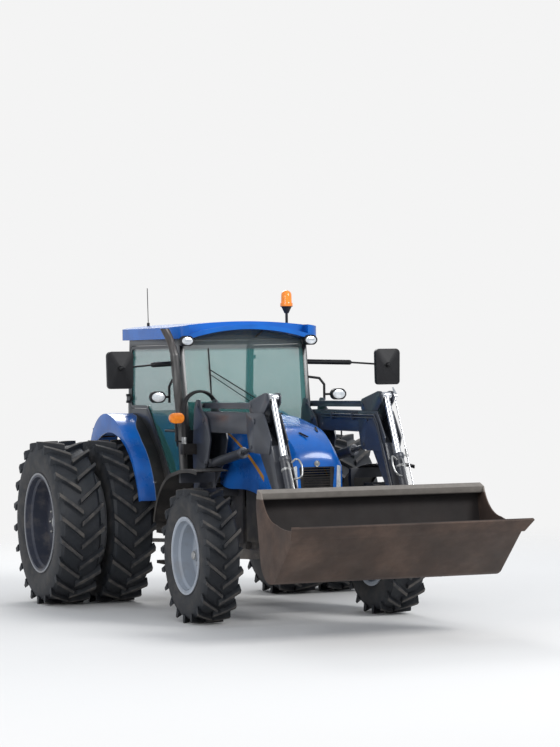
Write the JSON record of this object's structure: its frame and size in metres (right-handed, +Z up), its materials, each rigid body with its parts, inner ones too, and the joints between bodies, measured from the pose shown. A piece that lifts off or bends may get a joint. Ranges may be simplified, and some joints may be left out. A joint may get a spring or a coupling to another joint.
{
  "type": "farm tractor with front loader",
  "caption": "Utility farm tractor with a glazed cab, twin rear wheels, a lifting hood and a front loader with a tilting bucket.",
  "frame": {"origin": "middle of the bounding box, on the ground under the tyres", "axes": "+Z up, -Y forward, +X to the tractor's left"},
  "size_m": [3.372, 6.054, 3.0802],
  "materials": {
    "blue_paint": "gloss",
    "loader_grey": "satin",
    "bucket_rust": "worn",
    "black_paint": "satin",
    "cast_grey": "rough",
    "rim_pale": "satin",
    "rim_dark": "satin",
    "tyre": "worn",
    "glass": "clear",
    "lamp_clear": "clear",
    "amber": "clear",
    "black_plastic": "matte",
    "exhaust_steel": "brushed",
    "chrome_rod": "polished",
    "seat_cloth": "woven"
  },
  "bodies": {
    "chassis": {"engine_block": "cast_grey", "gearbox_and_rear_axle": "cast_grey", "front_axle": "cast_grey", "rear_fenders": "blue_paint", "cab_frame": "black_paint", "cab_roof": "blue_paint", "cab_glass": "glass", "seat_cushions": "seat_cloth", "cab_fittings": "black_plastic", "exhaust": "exhaust_steel", "loader_towers": "loader_grey", "rear_hitch": "cast_grey", "side_tanks_and_steps": "black_plastic", "loader_hoses": "black_plastic", "mirrors": "black_plastic", "work_lamps_and_antenna": "black_plastic", "amber_lamps": "amber"},
    "bucket": {"bucket": "bucket_rust", "tool_carrier": "loader_grey"},
    "boom": {"boom": "loader_grey"},
    "rockers": {"rockers": "loader_grey"},
    "upper_links": {"upper_links": "loader_grey"},
    "lift_barrels": {"lift_barrels": "loader_grey"},
    "lift_rods": {"lift_rods": "chrome_rod"},
    "tool_barrels": {"tool_barrels": "loader_grey"},
    "tool_rods": {"tool_rods": "chrome_rod"},
    "hood": {"hood": "blue_paint", "grille": "black_plastic", "headlamps": "lamp_clear"},
    "door_left": {"door_frame_left": "black_paint", "door_glass_left": "glass"},
    "door_right": {"door_frame_right": "black_paint", "door_glass_right": "glass"},
    "knuckle_left": {"knuckle_left": "cast_grey", "front_fender_left": "black_plastic"},
    "knuckle_right": {"knuckle_right": "cast_grey", "front_fender_right": "black_plastic"},
    "wheel_front_left": {"rim_front_left": "rim_pale", "tyre_front_left": "tyre"},
    "wheel_front_right": {"rim_front_right": "rim_pale", "tyre_front_right": "tyre"},
    "wheels_rear_left": {"rim_rear_left": "rim_dark", "tyres_rear_left": "tyre"},
    "wheels_rear_right": {"rim_rear_right": "rim_dark", "tyres_rear_right": "tyre"}
  },
  "joints": [
    {"name": "boom_lift", "type": "hinge", "parent": "chassis", "child": "boom", "pos_m": [0, 0.161, 1.8], "axis": [-1, 0, 0], "range_deg": [-8, 75]},
    {"name": "bucket_tilt", "type": "hinge", "parent": "boom", "child": "bucket", "pos_m": [0, -1.889, 0.52], "axis": [1, 0, 0], "range_deg": [-3, 100]},
    {"name": "rocker_swing", "type": "hinge", "parent": "boom", "child": "rockers", "pos_m": [0, -1.074, 1.81], "axis": [-1, 0, 0], "range_deg": [-75, 8]},
    {"name": "upper_link_swing", "type": "hinge", "parent": "chassis", "child": "upper_links", "pos_m": [0, 0.294, 1.934], "axis": [-1, 0, 0], "range_deg": [-8, 75]},
    {"name": "lift_barrel_swing", "type": "hinge", "parent": "chassis", "child": "lift_barrels", "pos_m": [0, 0.131, 1.405], "axis": [-1, 0, 0], "range_deg": [-6.8, 63]},
    {"name": "lift_rod_slide", "type": "slide", "parent": "lift_barrels", "child": "lift_rods", "axis": [0, -0.9881, 0.1537], "range_m": [-0.043, 0.394]},
    {"name": "tool_barrel_swing", "type": "hinge", "parent": "bucket", "child": "tool_barrels", "pos_m": [0, -1.879, 0.8], "axis": [1, 0, 0], "range_deg": [-104.5, 3.5]},
    {"name": "tool_rod_slide", "type": "slide", "parent": "tool_barrels", "child": "tool_rods", "axis": [0, 0.4236, 0.9059], "range_m": [-0.013, 0.416]},
    {"name": "hood_lift", "type": "hinge", "parent": "chassis", "child": "hood", "pos_m": [0, 0.381, 1.775], "axis": [-1, 0, 0], "range_deg": [0, 50]},
    {"name": "door_left_swing", "type": "hinge", "parent": "chassis", "child": "door_left", "pos_m": [0.665, 2.181, 1.985], "axis": [0, 0, 1], "range_deg": [0, 38]},
    {"name": "door_right_swing", "type": "hinge", "parent": "chassis", "child": "door_right", "pos_m": [-0.665, 2.181, 1.985], "axis": [0, 0, -1], "range_deg": [0, 38]},
    {"name": "steer_left", "type": "hinge", "parent": "chassis", "child": "knuckle_left", "pos_m": [0.69, -0.465, 0.605], "axis": [0, 0, 1], "range_deg": [-35, 35]},
    {"name": "steer_right", "type": "hinge", "parent": "chassis", "child": "knuckle_right", "pos_m": [-0.69, -0.465, 0.605], "axis": [0, 0, 1], "range_deg": [-35, 35]},
    {"name": "front_left_spin", "type": "hinge", "parent": "knuckle_left", "child": "wheel_front_left", "pos_m": [0.91, -0.465, 0.605], "axis": [1, 0, 0], "continuous": true},
    {"name": "front_right_spin", "type": "hinge", "parent": "knuckle_right", "child": "wheel_front_right", "pos_m": [-0.91, -0.465, 0.605], "axis": [1, 0, 0], "continuous": true},
    {"name": "rear_left_spin", "type": "hinge", "parent": "chassis", "child": "wheels_rear_left", "pos_m": [0.945, 1.981, 0.7925], "axis": [1, 0, 0], "continuous": true},
    {"name": "rear_right_spin", "type": "hinge", "parent": "chassis", "child": "wheels_rear_right", "pos_m": [-0.945, 1.981, 0.7925], "axis": [1, 0, 0], "continuous": true}
  ],
  "couplings": [
    {"joint": "rocker_swing", "follows": "boom_lift", "ratio": -1},
    {"joint": "upper_link_swing", "follows": "boom_lift", "ratio": 1},
    {"joint": "lift_barrel_swing", "follows": "boom_lift", "ratio": 0.838},
    {"joint": "lift_rod_slide", "follows": "boom_lift", "m_per_rad": 0.3002},
    {"joint": "tool_barrel_swing", "follows": "bucket_tilt", "ratio": -1.04},
    {"joint": "tool_rod_slide", "follows": "bucket_tilt", "m_per_rad": 0.2378},
    {"joint": "steer_right", "follows": "steer_left", "ratio": 1}
  ]
}
